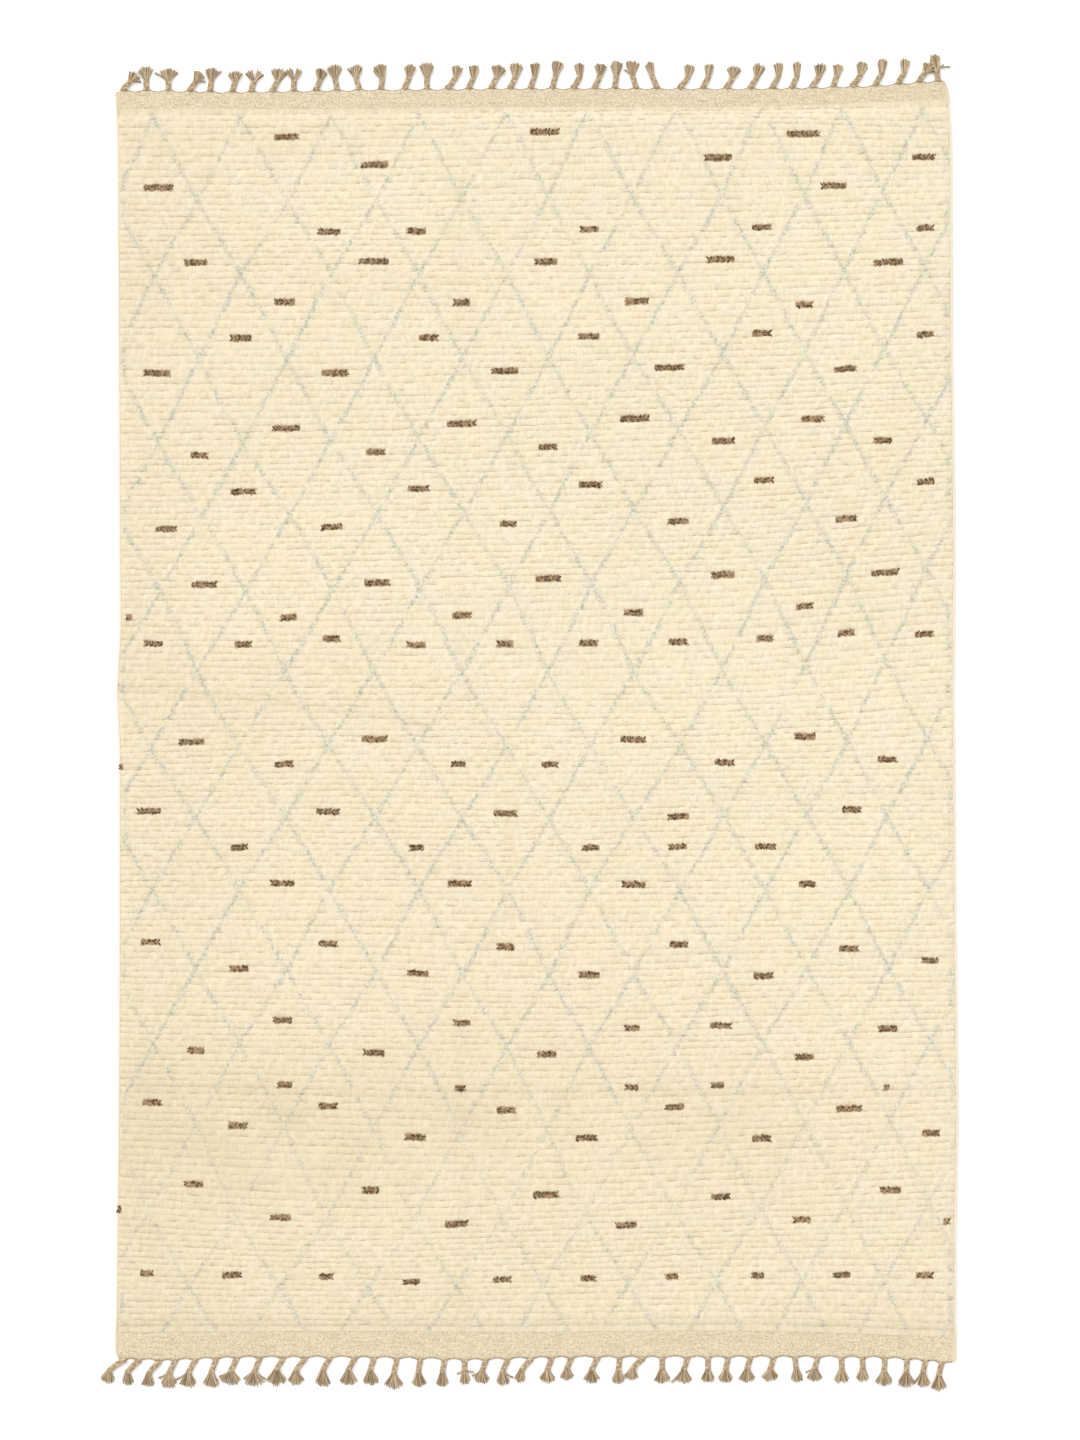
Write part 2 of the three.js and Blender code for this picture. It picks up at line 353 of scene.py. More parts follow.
def noise_at(place, scale, detail):
    """Soft noise between 0 and 1."""
    inputs = {"Vector": place, "Scale": scale, "Detail": detail}
    return add_node(place.id_data, "ShaderNodeTexNoise", inputs).outputs["Fac"]


def drawn_out_noise(place, fineness, detail):
    """Soft noise between 0 and 1 with its own fineness along each axis."""
    inputs = {0: place, 1: fineness}
    drawn = add_node(place.id_data, "ShaderNodeVectorMath", inputs, operation="MULTIPLY")
    return noise_at(drawn.outputs[0], 1.0, detail)


# How light each place on a yarn is, about 1, and how high
fibre_entries = {"Place": VECTOR, "Fineness": VECTOR, "Contrast": NUMBER}
wool_fibres, given, result = shader_group("wool_fibres", fibre_entries, ("Shade", "Height"))
noise = drawn_out_noise(given["Place"], given["Fineness"], 3.0)
from_middle = calculate("SUBTRACT", noise, 0.5)
shade = calculate("MULTIPLY_ADD", from_middle, given["Contrast"], 1.0)
wool_fibres.links.new(shade, result["Shade"])
wool_fibres.links.new(noise, result["Height"])

# How much of a dark fleck is at each place in hand-spun wool
fleck_entries = {"Place": VECTOR, "Fineness": NUMBER, "Sparseness": NUMBER}
wool_flecks, given, result = shader_group("wool_flecks", fleck_entries, ("Fleck",))
FLECK_EDGE = 9.0  # how sharply a fleck ends
noise = noise_at(given["Place"], given["Fineness"], 1.0)
above = calculate("SUBTRACT", noise, given["Sparseness"])
fleck = calculate("MULTIPLY", above, FLECK_EDGE)
clamped = add_node(wool_flecks, "ShaderNodeClamp", {"Value": fleck})
wool_flecks.links.new(clamped.outputs[0], result["Fleck"])


def picture_colour(rgb):
    """The colour of a surface that shows in a picture, in this light, as the given one."""
    light = [((c / 255 + 0.055) / 1.055) ** 2.4 / BRIGHTNESS for c in rgb]
    return (*light, 1.0)


def blend(factor, low, high):
    """A colour between two others, each a socket or an eight-bit picture colour."""
    tree = factor.id_data
    mix = add_node(tree, "ShaderNodeMix", {"Factor": factor}, data_type="RGBA")
    for side, colour in ((6, low), (7, high)):
        if isinstance(colour, bpy.types.NodeSocket):
            tree.links.new(colour, mix.inputs[side])
        else:
            mix.inputs[side].default_value = picture_colour(colour)
    return mix.outputs[2]


def painted(tree, name, output="Fac"):
    """What was painted on the points of the piece."""
    return add_node(tree, "ShaderNodeAttribute", attribute_name=name).outputs[output]


def times(first, second):
    """The product of a socket and a socket or number."""
    return calculate("MULTIPLY", first, second)


def spread_out(value, low, high):
    """A value between low and high, drawn out to between 0 and 1."""
    inputs = {"Value": value, "From Min": low, "From Max": high}
    return add_node(value.id_data, "ShaderNodeMapRange", inputs).outputs["Result"]


def add_flecks(place, fineness, sparseness, strength):
    """How much of a fleck is at each place, with a material's own values."""
    inputs = {"Place": place, "Fineness": fineness, "Sparseness": sparseness}
    flecks = add_node(place.id_data, "ShaderNodeGroup", inputs, node_tree=wool_flecks)
    return times(flecks.outputs["Fleck"], strength)


def finish_wool(shader, colour, place, fineness, contrast, bump_depth, tone=0.0):
    """Gives a shader its colour, shaded by a tone and by fibres, and the relief of the fibres."""
    tree = shader.id_data
    inputs = {"Place": place, "Fineness": fineness, "Contrast": contrast}
    fibres = add_node(tree, "ShaderNodeGroup", inputs, node_tree=wool_fibres).outputs
    shade = calculate("ADD", fibres["Shade"], tone)
    shaded = add_node(tree, "ShaderNodeVectorMath", {0: colour, "Scale": shade}, operation="SCALE")
    tree.links.new(shaded.outputs[0], shader.inputs["Base Color"])
    relief_inputs = {"Height": fibres["Height"], "Strength": 0.6, "Distance": bump_depth}
    bump = add_node(tree, "ShaderNodeBump", relief_inputs)
    tree.links.new(bump.outputs["Normal"], shader.inputs["Normal"])


cloth_wool, tree, shader = new_material("ground_weave_wool", 0.95)
place = tree.nodes.new("ShaderNodeTexCoord").outputs["Object"]
# Threads that lie over are painted lighter and threads that dip under darker, and each slanting stitch
# lighter towards its raised end: painted shade between the threads.
wool = blend(painted(tree, "thread_over"), (241, 225, 194), (255, 243, 215))
patches = noise_at(place, 300.0, 3.0)
wool = blend(spread_out(patches, 0.40, 0.70), wool, (210, 189, 152))
along_wefts = drawn_out_noise(place, (26.0, 290.0, 290.0), 2.0)
streaks = times(spread_out(along_wefts, 0.53, 0.68), 0.5)
wool = blend(streaks, wool, (206, 184, 147))
wool = blend(add_flecks(place, 230.0, 0.60, 0.5), wool, (166, 134, 96))
finish_wool(shader, wool, place, (150.0, 330.0, 150.0), 0.4, 0.0008)
rug_cloth.data.materials.append(cloth_wool)
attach(rug_cloth, "root")
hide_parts("rug_body")


# The pile: rows of wool knots tied across the rug, each a soft ridge that leans over the row below
# it. The cream rows carry a lattice of pale blue knots and dashes of undyed brown ones.
PILE_ROWS = 189
KNOTS = 400
PILE_TOP = 0.014
PILE_BASE = 0.0042
PILE_LEAST = 0.0004  # thickness
PILE_OVER = 0.0042  # how far it lies over the overcast edges
END_TAPER = 0.038  # over which the pile comes down to the flat weave
END_HEIGHT = 0.06  # share of its height that is left there
END_CURVE = 0.8
END_TONE = (0.037, -0.004)  # how much darker it is painted there, as painted shade: at the top end, at the bottom end
FIRST_LINE = 0.5  # how much painted groove shade lies just inside the first groove
END_RELIEF = 0.003  # over which its grooves grow to their depth
BAND_ROWS = 24
SIDE_DROP = (0.0030, 0.0010, 0.0003)  # of its outermost knots, from the side inwards
PILE_SMOOTH = math.radians(62)

# How far the grooves and the knots stray from their places, and how unevenly high the pile stands
LINE_WAVE = 0.0022
LINE_JAG = 0.0011
ROW_SHIFT = 0.0007
KNOT_SHIFT = 0.0006
KNOT_RISE = 0.0005
TUFT_RISE = 0.00034

# One row of knots, from its upper groove down to the next: where its points lie, how high they
# stand, and how much painted shade they carry in the groove
row_shape = {
    "share": (0.0, 0.11, 0.89),
    "rise": (-0.0017, -0.0002, -0.0001),
    "groove_shade": (1.0, 0.10, 0.14),
}

# Where every twelfth row of knots runs, at five places across, in millimetres along the rug. The
# first and the last line follow the woven bands.
FIRST_READ = 1.5
READ_STEP = 12
line_across = (0, 0.25, 0.5, 0.757, 1)
row_lines = (
    (1448, 1450, 1457, 1464, 1466), (1249, 1249, 1259, 1263, 1280), (1069, 1075, 1072, 1079, 1092),
    (871, 871, 875, 885, 902), (670, 677, 692, 709, 729), (494, 500, 508, 520, 553),
    (317, 320, 331, 343, 373), (130, 125, 124, 134, 168), (-62, -51, -53, -48, -33),
    (-222, -223, -227, -218, -219), (-398, -395, -397, -398, -395), (-582, -589, -600, -586, -580),
    (-762, -768, -773, -765, -756), (-952, -964, -973, -958, -942), (-1158, -1181, -1173, -1158, -1140),
    (-1340, -1347, -1340, -1331, -1334),
)
line_places = [0.0, *np.arange(FIRST_READ, PILE_ROWS, READ_STEP), float(PILE_ROWS)]
pile_start = woven_edge("top", np.array(line_across)) - SEAM - TOP_WEAVE
pile_stop = woven_edge("bottom", np.array(line_across)) + SEAM + BOTTOM_WEAVE
line_heights = [pile_start, *(np.array(row_lines) / 1000), pile_stop]
knot_across = np.linspace(0, 1, KNOTS)
chart_row = np.append(
    (np.arange(PILE_ROWS)[:, None] + np.array(row_shape["share"])[None, :]).ravel(), PILE_ROWS
)
row_along = smooth_read(chart_row, line_places, line_heights)
pile_along = smooth_read(knot_across, line_across, row_along.T).T

# Each groove waves softly by itself, and each knot sits a little off its place.
grooves = (PILE_ROWS + 1, KNOTS)
waves = LINE_WAVE * uneven_mix(*grooves, ((0.55, 1, 5), (0.45, 1, 22)))
waves += ROW_SHIFT * random.uniform(-1, 1, (grooves[0], 1))
waves += LINE_JAG * random.uniform(-1, 1, grooves)
waves[[0, -1]] = 0
above_row = np.minimum(chart_row.astype(int), PILE_ROWS - 1)
share = (chart_row - above_row)[:, None]
pile_along = pile_along + (1 - share) * waves[above_row] + share * waves[above_row + 1]
pile_x = between_sides(np.broadcast_to(knot_across, pile_along.shape), pile_along, PILE_OVER)

# The grooves are deep in some places, and closed by stray wool in others.
GROOVE_DEPTH = 0.58  # on average, as a share of the full depth
GROOVE_STRAY = 0.42
DEEPEST = 1.4
shares = len(row_shape["share"])
rise, groove_shade = (
    np.append(np.tile(row_shape[kind], PILE_ROWS), row_shape[kind][0])[:, None]
    for kind in ("rise", "groove_shade")
)
groove_shade[1] = FIRST_LINE
depth = uneven_mix(*grooves, ((0.30, 1, 2.5), (0.12, 1, 16)), GROOVE_DEPTH)
depth += GROOVE_STRAY * random.uniform(-1, 1, grooves)
depth = np.clip(depth, 0.0, DEEPEST)[np.round(chart_row).astype(int)]
relief = rise * depth
relief += (KNOT_RISE * random.uniform(-1, 1, (PILE_ROWS, KNOTS)))[above_row]
relief += TUFT_RISE * random.uniform(-1, 1, relief.shape)

# Soft marks of the folds in which the rug was kept: the points each runs through, half its width,
# its depth, and how much darker the wool is there: painted shade in the fold, with some parted wool
fold_marks = (
    (((-1.00, 0.086), (-0.62, 0.050), (-0.265, -0.007)), 0.011, 0.0016, 0.045),
    (((-0.175, 1.47), (-0.175, 0.10), (-0.062, -0.12), (-0.062, -0.46)), 0.016, 0.0011, 0.018),
    (((-0.062, -0.46), (-0.172, -0.62), (-0.170, -1.45)), 0.016, 0.0011, 0.018),
    (((0.184, -0.557), (0.62, -0.550), (1.00, -0.560)), 0.010, 0.0012, 0.022),
    (((-1.00, -0.872), (-0.30, -0.886), (1.00, -0.878)), 0.014, 0.0015, 0.030),
    (((-0.64, -0.950), (-0.12, -0.940)), 0.050, 0.0008, 0.020),
    (((0.30, 0.226), (1.00, 0.236)), 0.012, 0.0008, 0.014),
    (((0.45, -0.172), (1.00, -0.165)), 0.012, 0.0008, 0.014),
    (((-1.00, 1.108), (-0.55, 1.100)), 0.012, 0.0008, 0.014),
    (((-1.00, -1.127), (-0.50, -1.122)), 0.012, 0.0008, 0.014),
)


def distance_to(path, x, y):
    """How far each place lies from a line through points."""
    nearest = np.full(x.shape, np.inf)
    for (x0, y0), (x1, y1) in zip(path[:-1], path[1:]):
        length = math.hypot(x1 - x0, y1 - y0)
        way = np.clip(((x - x0) * (x1 - x0) + (y - y0) * (y1 - y0)) / length**2, 0, 1)
        nearest = np.minimum(nearest, np.hypot(x - x0 - way * (x1 - x0), y - y0 - way * (y1 - y0)))
    return nearest


def ease(value):
    """From 0 to 1, softly at both ends."""
    value = np.clip(value, 0, 1)
    return value * value * (3 - 2 * value)


# How much lighter or darker the wool is at each place: by knot and by patch, darker towards the ends
# and the left side, in part as painted shade, and darker in the folds with painted shade
KNOT_TONE = 0.038
tone = KNOT_TONE * random.uniform(-1, 1, (PILE_ROWS, KNOTS))[above_row]
tone += uneven_mix(*relief.shape, ((0.007, 3, 4), (0.011, 40, 50)))
# Darker towards the bottom end, the top end and the left side, in part painted shade: the way out
# that it grows along, where it starts, over what distance, and how dark it gets
darker_parts = (
    (-pile_along, 0.75, 0.8, 0.028),
    (pile_along, 1.1, 0.3, 0.010),
    (-pile_x, 0.72, 0.26, 0.018),
)
for way_out, darkening_start, growth, darker in darker_parts:
    tone -= darker * ease((way_out - darkening_start) / growth)
sunk = np.zeros_like(relief)
# Each fold sinks the pile and darkens its tone with painted shade.
for path, width, fold_depth, darker in fold_marks:
    near = np.exp(-((distance_to(path, pile_x, pile_along) / width) ** 2))
    sunk += fold_depth * near
    tone -= darker * near

# Where the wool has yellowed: the middle of each patch, half its size, and how much it has
yellow_patches = (
    ((-0.55, -0.95), (0.80, 0.20), 0.50),
    ((-0.50, -0.80), (0.90, 0.60), 0.22),
    ((0.42, -0.98), (0.45, 0.14), 0.22),
    ((-0.95, -1.20), (0.35, 0.25), 0.25),
    ((-0.50, -1.40), (0.70, 0.09), 0.22),
    ((0.85, -1.42), (0.30, 0.08), 0.25),
    ((-0.75, 0.08), (0.40, 0.12), 0.22),
    ((-0.70, 1.06), (0.60, 0.08), 0.20),
    ((-0.80, 1.42), (0.50, 0.07), 0.16),
    ((-0.95, 0.60), (0.40, 1.00), 0.14),
)
yellow = np.zeros_like(relief)
for (x, y), (half_width, half_length), strength in yellow_patches:
    away = ((pile_x - x) / half_width) ** 2 + ((pile_along - y) / half_length) ** 2
    yellow += strength * np.exp(-away)
YELLOW_UNEVEN = 0.3
yellow *= 1 + YELLOW_UNEVEN * uneven(*relief.shape, 12, 14)

# The chart of the lattice, in knots from the left side. Its lines cross on every second column.
node_columns = (
    15, 36, 57, 79, 100, 122, 143, 164, 186, 206, 226, 247, 269, 290, 310, 330, 350, 369, 389,
)
LEFT_OF_CHART = -5
RIGHT_OF_CHART = 409
FIRST_NODE_ROW = 1
NODE_STEP = 12
NODE_ROWS = 17
SIDE_KNOTS = 2.0  # the lattice keeps this far inside the sides
HALF_CELL = 1.55  # knots from the middle of a blue cell to where it ends
CELL_SLANT = 0.7  # of a cell's step to the next that it slants by itself
CELL_SHIFT = 0.35
NODE_SHIFT = 0.5
IN_GROOVE = 0.35  # share of a cell's blue that shows in the grooves
CELL_UNEVEN = (0.8, 1.1)
GAPS = 0.14  # share of the cells that are nearly missing
SIDE_GAPS = 0.6  # the same where a line runs along the side
FAINT = (0.15, 0.4)  # how blue the nearly missing cells are
FULL = (0.6, 1.15)  # and the others
# How far the columns have drifted to the right by each row of knots, read at five of them
drift_columns = (0, 5, 9, 13, 18)
column_drift = {
    1: (1.5, 2.0, -0.3, -1.0, -2.5),
    37: (2.5, 0.7, -0.3, -0.5, -2.0),
    73: (3.5, 1.2, -0.5, -1.0, -2.5),
    97: (-0.5, -0.3, -0.8, -0.5, -2.2),
    133: (0.5, 0.3, -1.0, -1.8, -1.7),
    157: (0.6, -0.3, -2.4, -4.0, -1.0),
    181: (-1.5, -2.2, -3.0, -4.3, -3.7),
}
# How well the blue has kept, by rows of knots
blue_kept = {1: 0.96, 13: 0.90, 25: 1.0, 145: 1.0, 157: 0.74, 169: 0.58, 181: 0.90}
blue = np.zeros_like(relief)
columns = dict(enumerate(node_columns)) | {-1: LEFT_OF_CHART, len(node_columns): RIGHT_OF_CHART}
node_shift = random.uniform(-NODE_SHIFT, NODE_SHIFT, (NODE_ROWS + 1, len(columns)))


def drift(column, row):
    """How far a column of the lattice has drifted to the right in a row of knots."""
    along_column = [np.interp(column, drift_columns, across) for across in column_drift.values()]
    return np.interp(row, list(column_drift), along_column)


def dye_cell(row, middle, step, strength):
    """Gives the few knots of one row where a line of the lattice passes their share of blue."""
    for line, share_down in enumerate(row_shape["share"]):
        centre = middle + (share_down - 0.5) * step * CELL_SLANT
        near = np.arange(max(int(centre) - 2, 0), min(int(centre) + 4, KNOTS))
        amount = strength * np.clip(HALF_CELL - np.abs(near - centre), 0, 1)
        for edge in (row * shares + line,) if line else (row * shares, (row + 1) * shares):
            kept = amount if line else IN_GROOVE * amount
            kept = kept * random.uniform(*CELL_UNEVEN, len(near))
            blue[edge, near] = np.maximum(blue[edge, near], kept)


for node_row in range(NODE_ROWS - 1):
    for start in range(-1, len(node_columns) + 1):
        if (start + node_row) % 2:
            continue
        for turn in (-1, 1):
            stop = start + turn
            if stop not in columns:
                continue
            first_row = FIRST_NODE_ROW + node_row * NODE_STEP
            leaves = columns[start] + node_shift[node_row, start] + drift(start, first_row)
            arrives = columns[stop] + node_shift[node_row + 1, stop] + drift(stop, first_row + NODE_STEP)
            moves = (arrives - leaves) / NODE_STEP
            for step in range(NODE_STEP):
                row = first_row + step
                if row >= PILE_ROWS:
                    break
                middle = leaves + step * moves + random.uniform(-CELL_SHIFT, CELL_SHIFT)
                beyond = not SIDE_KNOTS < middle < KNOTS - SIDE_KNOTS
                middle = np.clip(middle, SIDE_KNOTS, KNOTS - 1 - SIDE_KNOTS)
                missing = random.random() < (SIDE_GAPS if beyond else GAPS)
                strength = random.uniform(*(FAINT if missing else FULL))
                strength *= np.interp(row, list(blue_kept), list(blue_kept.values()))
                dye_cell(row, middle, 0.0 if beyond else moves, strength)

# The chart of the dashes: for each row of knots, the columns of the lattice on which a dash is
# centred, with its width in knots
dash_chart = {
    4: {3: 12, 9: 14}, 5: {15: 16}, 8: {5: 13, 13: 13, 18: 11}, 11: {0.1: 14}, 12: {15.8: 12},
    18: {4: 11, 6: 9, 10: 9, 14: 9}, 19: {18: 8}, 23: {1: 11, 5: 14, 9: 11, 13: 13}, 24: {17.1: 14},
    29: {3: 10, 7: 8, 11.1: 11}, 30: {15: 8}, 34: {2: 10, 6.2: 9, 10: 10, 14: 9}, 35: {18: 8},
    39: {0: 13, 4.1: 13, 8: 13, 11.8: 14}, 40: {16: 11}, 47: {3: 13, 7: 14, 11: 14}, 48: {15.2: 11},
    51: {1: 8, 5: 9, 9: 9, 13: 11}, 52: {17: 9}, 57: {2: 12, 6: 10, 10: 11, 14: 9}, 59: {18: 8},
    63: {0.2: 10, 4: 10, 8: 8, 12: 10}, 64: {16: 10}, 72: {1: 12, 5: 12, 9: 12, 13: 11}, 73: {17: 13},
    77: {-1: 3, 3: 8, 7: 9, 11: 9, 15: 8}, 80: {4: 8},
    81: {0: 9, 2: 8, 6: 9, 8: 8, 10: 9, 12: 9, 14: 8, 16: 8}, 82: {18: 9},
    96: {1: 12, 5: 12, 11: 12, 15: 10}, 100: {-1: 2, 3: 9, 7: 7, 9: 8, 13: 9, 17: 9},
    108: {0: 11, 4: 11, 8: 11, 16.1: 9}, 109: {12: 10}, 114: {2: 8, 6: 7, 10: 8, 12: 9, 14: 10},
    120: {3: 11, 7: 11, 11: 11, 15: 8}, 129: {0: 9, 4: 9, 8: 8, 12: 9}, 130: {16: 9}, 132: {18: 8},
    133: {2: 9, 6: 10, 10: 10}, 134: {14: 9}, 141: {3: 9, 7: 8}, 142: {11: 7, 13: 10}, 143: {17: 9},
    146: {1: 8, 5: 10, 9: 9}, 147: {15: 9}, 151: {3: 7, 7: 5, 11: 6, 13: 6}, 152: {17: 3},
    154: {0: 9, 4: 9, 8: 9, 12: 9}, 155: {16: 12}, 157: {2: 9}, 158: {6: 10, 10: 10},
    159: {14: 9, 18: 8}, 165: {1: 9, 5: 8}, 166: {9: 12}, 167: {13.1: 9, 17.1: 10},
    169: {-1: 2, 3: 10}, 170: {7: 11}, 171: {11: 10, 15: 8}, 172: {19: 3}, 179: {0: 6, 2: 9, 4.1: 7},
    180: {6: 8, 8: 9, 10.1: 7, 12: 6, 14: 6, 16: 8, 18: 8},
}
DASH_BASE = 0.75  # how fully the foot of the brown yarn fills its knots
DASH_RAGS = (0.0, 0.7)  # the same in the grooves above and below
DASH_SHIFT = 0.7
brown = np.zeros_like(relief)
dash_places = sorted((columns | {-1: 1, len(node_columns): KNOTS - 2}).items())
dash_knots = []
for row, dashes in dash_chart.items():
    for column, width in dashes.items():
        middle = np.interp(column, *zip(*dash_places)) + drift(column, row)
        middle += random.uniform(-DASH_SHIFT, DASH_SHIFT)
        first = int(np.clip(round(middle - width / 2), 0, KNOTS - width))
        knots = slice(first, first + width)
        dash_knots.append((row, first, width))
        top = row * shares
        brown[top + 1 : top + shares, knots] = DASH_BASE
        brown[top, knots] = np.maximum(brown[top, knots], random.choice(DASH_RAGS, width))
        brown[top + shares, knots] = random.choice(DASH_RAGS, width)
blue[brown > 0] = 0

# The pile is shorter towards the flat weave and beside the overcast edges.
from_end = np.minimum(pile_along[0] - pile_along, pile_along - pile_along[-1])
taper = END_HEIGHT + (1 - END_HEIGHT) * ease(from_end / END_TAPER) ** END_CURVE
pile_height = WEAVE_TOP + (PILE_TOP - sunk - WEAVE_TOP) * taper
pile_height += relief * np.clip(from_end / END_RELIEF, 0, 1)
for column, drop in enumerate(SIDE_DROP):
    pile_height[:, [column, -1 - column]] -= drop
pile_height = np.maximum(pile_height, PILE_BASE + PILE_LEAST)
# Painted shade near the top end; near the bottom end the tone is a little lighter.
tone -= np.where(pile_along > 0, *END_TONE) * (1 - ease(from_end / END_TAPER))
pile_net = np.stack([pile_x, pile_along, pile_height], axis=2)
pile_net[:, 1:-1, 0] += KNOT_SHIFT * random.uniform(-1, 1, pile_net[:, 1:-1, 0].shape)

pile_wool, tree, shader = new_material("knotted_pile_wool", 0.97)
place = tree.nodes.new("ShaderNodeTexCoord").outputs["Object"]
# The tone darkens and lightens the colour: at random by knot and patch, and with painted shade in the
# folds, near the ends and in part towards the sides.
light_and_dark = painted(tree, "tone")
patches = noise_at(place, 130.0, 4.0)
pale = spread_out(noise_at(place, 22.0, 3.0), 0.35, 0.65)
dull_cream = blend(pale, (243, 227, 189), (245, 227, 201))
clear_cream = blend(pale, (257, 246, 212), (257, 246, 223))
cream = blend(patches, dull_cream, clear_cream)
# Where the tone is darker, which is in places painted shade, the cream also turns yellower.
tone_darkness = times(light_and_dark, -5.0)
cream = blend(spread_out(tone_darkness, 0.0, 1.0), cream, (244, 228, 188))
cream = blend(painted(tree, "yellow"), cream, (240, 222, 186))
cream = blend(add_flecks(place, 170.0, 0.72, 0.35), cream, (186, 158, 120))
ragged = noise_at(place, 230.0, 2.0)


def yarn_mask(name, softness):
    """Where a coloured yarn shows: its painted amount, worn ragged at the borders."""
    off_middle = calculate("SUBTRACT", ragged, 0.5)
    pushed = calculate("ADD", off_middle, painted(tree, name))
    return spread_out(pushed, 0.5 - softness, 0.5 + softness)


worn = noise_at(place, 150.0, 2.0)
blue_wool = blend(spread_out(worn, 0.38, 0.6), (150, 161, 154), (232, 232, 215))
blue_mask = times(yarn_mask("blue_yarn", 0.45), 0.67)
dyed = blend(blue_mask, cream, blue_wool)
brown_foot = blend(worn, (166, 134, 98), (222, 196, 158))
dyed = blend(yarn_mask("brown_yarn", 0.15), dyed, brown_foot)
# Painted shade in the grooves between the rows, partly the darker feet of the knots, broken where stray
# wool fills them
stray_wool = spread_out(ragged, 0.3, 0.6)
painted_groove_shade = times(painted(tree, "groove_shade"), stray_wool)
dyed = blend(times(painted_groove_shade, 0.48), dyed, (204, 180, 142))
finish_wool(shader, dyed, place, (230.0, 150.0, 150.0), 0.2, 0.0010, light_and_dark)

layers = {
    "groove_shade": groove_shade * np.clip(depth, 0, 1),
    "tone": tone,
    "yellow": np.clip(yellow, 0, 1),
    "blue_yarn": blue,
    "brown_yarn": brown,
}
for number, first in enumerate(range(0, PILE_ROWS, BAND_ROWS)):
    last = min(first + BAND_ROWS, PILE_ROWS)
    cut = slice(last * shares, first * shares - 1 if first else None, -1)
    net = pile_net[cut]
    under = np.linspace(0, len(net) - 1, 4).astype(int).tolist()
    band = blanket(f"pile_band_{number + 1}", net, PILE_BASE, under, PILE_SMOOTH)
    for name, layer in layers.items():
        paint_sheet(band, name, layer[cut], under)
    band.data.materials.append(pile_wool)
    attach(band, "root")


# The cut ends of the brown knots. Each knot of a dash shows two fat ends of dark wool above its
# middle and two below, which lie slanting over the cream pile and fray out at the borders.
DASH_YARN = 0.00105
DASH_REACH = 0.0082
DASH_LEAN = 0.0042
DASH_APART = 0.0022
DASH_LIFT = 0.0009
DASH_ENDS = 2
DASH_SINK = 0.0006
DASH_SCATTER = 0.0007
LEAN_SCATTER = 0.0013
HALVES_APART = 0.0004  # from the middle of a knot to the foot of its upper or lower ends
REACHES = (0.6, 1.12)  # shares of DASH_REACH, least and most
TUFT_TONES = (0.0, 0.08, 0.2, 0.55, 0.95)
OFF_FLOOR = 0.0001  # the least height of any yarn


def tube_faces(rings, around):
    """Faces of a closed tube: its wall between rings of points, and a cap at each end."""
    ring = np.arange(rings * around).reshape(rings, around)
    beside = np.roll(ring, -1, axis=1)
    wall = np.stack([ring[:-1], beside[:-1], beside[1:], ring[1:]], axis=-1).reshape(-1, 4)
    return wall.tolist() + [ring[0][::-1].tolist(), ring[-1].tolist()]


class YarnWork:
    """Collects closed strands of yarn, and makes one piece of them."""

    PLY_TURN = 0.008

    def __init__(self):
        self.points = []
        self.faces = []
        self.tones = []
        self.places = []
        self.count = 0

    def strand(self, path, radius, sides, tone, ply=0.0):
        """Adds one strand along a path of points, with its tone and how much its plies vary it."""
        path = np.asarray(path, float)
        ahead = np.gradient(path, axis=0)
        ahead /= np.linalg.norm(ahead, axis=1, keepdims=True)
        beside = np.cross(ahead, (0.0, 0.0, 1.0))
        beside /= np.maximum(np.linalg.norm(beside, axis=1, keepdims=True), 1e-9)
        upright = np.cross(beside, ahead)
        turn = np.arange(sides) * 2 * math.pi / sides
        round_x = radius * np.cos(turn)
        round_z = radius * np.sin(turn)
        ring = round_x[None, :, None] * beside[:, None, :] + round_z[None, :, None] * upright[:, None, :]
        points = path[:, None, :] + ring
        points[..., 2] = np.maximum(points[..., 2], OFF_FLOOR)
        length = np.append(0, np.cumsum(np.linalg.norm(np.diff(path, axis=0), axis=1)))[:, None]
        seed = random.uniform(-5, 5, 2)
        place = np.stack(np.broadcast_arrays(seed[0] + round_x, length, seed[1] + round_z), axis=2)
        for face in tube_faces(len(path), sides):
            self.faces.append([corner + self.count for corner in face])
        plies = ply * np.sin(turn + 2 * math.pi * (length / self.PLY_TURN + seed[0]))
        self.points.append(points.reshape(-1, 3))
        self.places.append(place.reshape(-1, 3))
        self.tones.append((np.broadcast_to(tone, len(path))[:, None] + plies).ravel())
        self.count += len(path) * sides

    def finish(self, name):
        """The piece made of all strands so far."""
        piece = mesh_object(name, np.concatenate(self.points).tolist(), self.faces)
        paint(piece, "yarn_tone", np.concatenate(self.tones))
        layer = piece.data.attributes.new("yarn_place", "FLOAT_VECTOR", "POINT")
        layer.data.foreach_set("vector", np.concatenate(self.places).astype(np.float32).ravel())
        return piece


tufts = YarnWork()
for row, first, width in dash_knots:
    lean = DASH_LEAN * random.choice([-1, 1])
    for knot in range(first, first + width):
        upper = pile_net[row * shares + 1, knot]
        lower = pile_net[row * shares + shares - 1, knot]
        foot = (upper + lower) / 2
        for half in (-1, 1):
            shade_of = random.choice(TUFT_TONES)
            length = DASH_REACH * random.uniform(*REACHES)
            for end in range(DASH_ENDS):
                reach = length * random.uniform(0.85, 1.1)
                aside = (end - 0.5) * DASH_APART + random.uniform(-1, 1) * DASH_SCATTER
                slant = lean + random.uniform(-1, 1) * LEAN_SCATTER
                start = foot + (aside, half * HALVES_APART, -DASH_SINK)
                stop = foot + (aside + slant, half * reach, random.uniform(-1, 0.4) * DASH_SINK)
                middle = (start + stop) / 2 + (0.2 * slant, 0, DASH_LIFT)
                radius = DASH_YARN * random.uniform(0.8, 1.15)
                tufts.strand([start, middle, stop], radius, 4, shade_of)
dash_tufts = tufts.finish("dash_tufts")

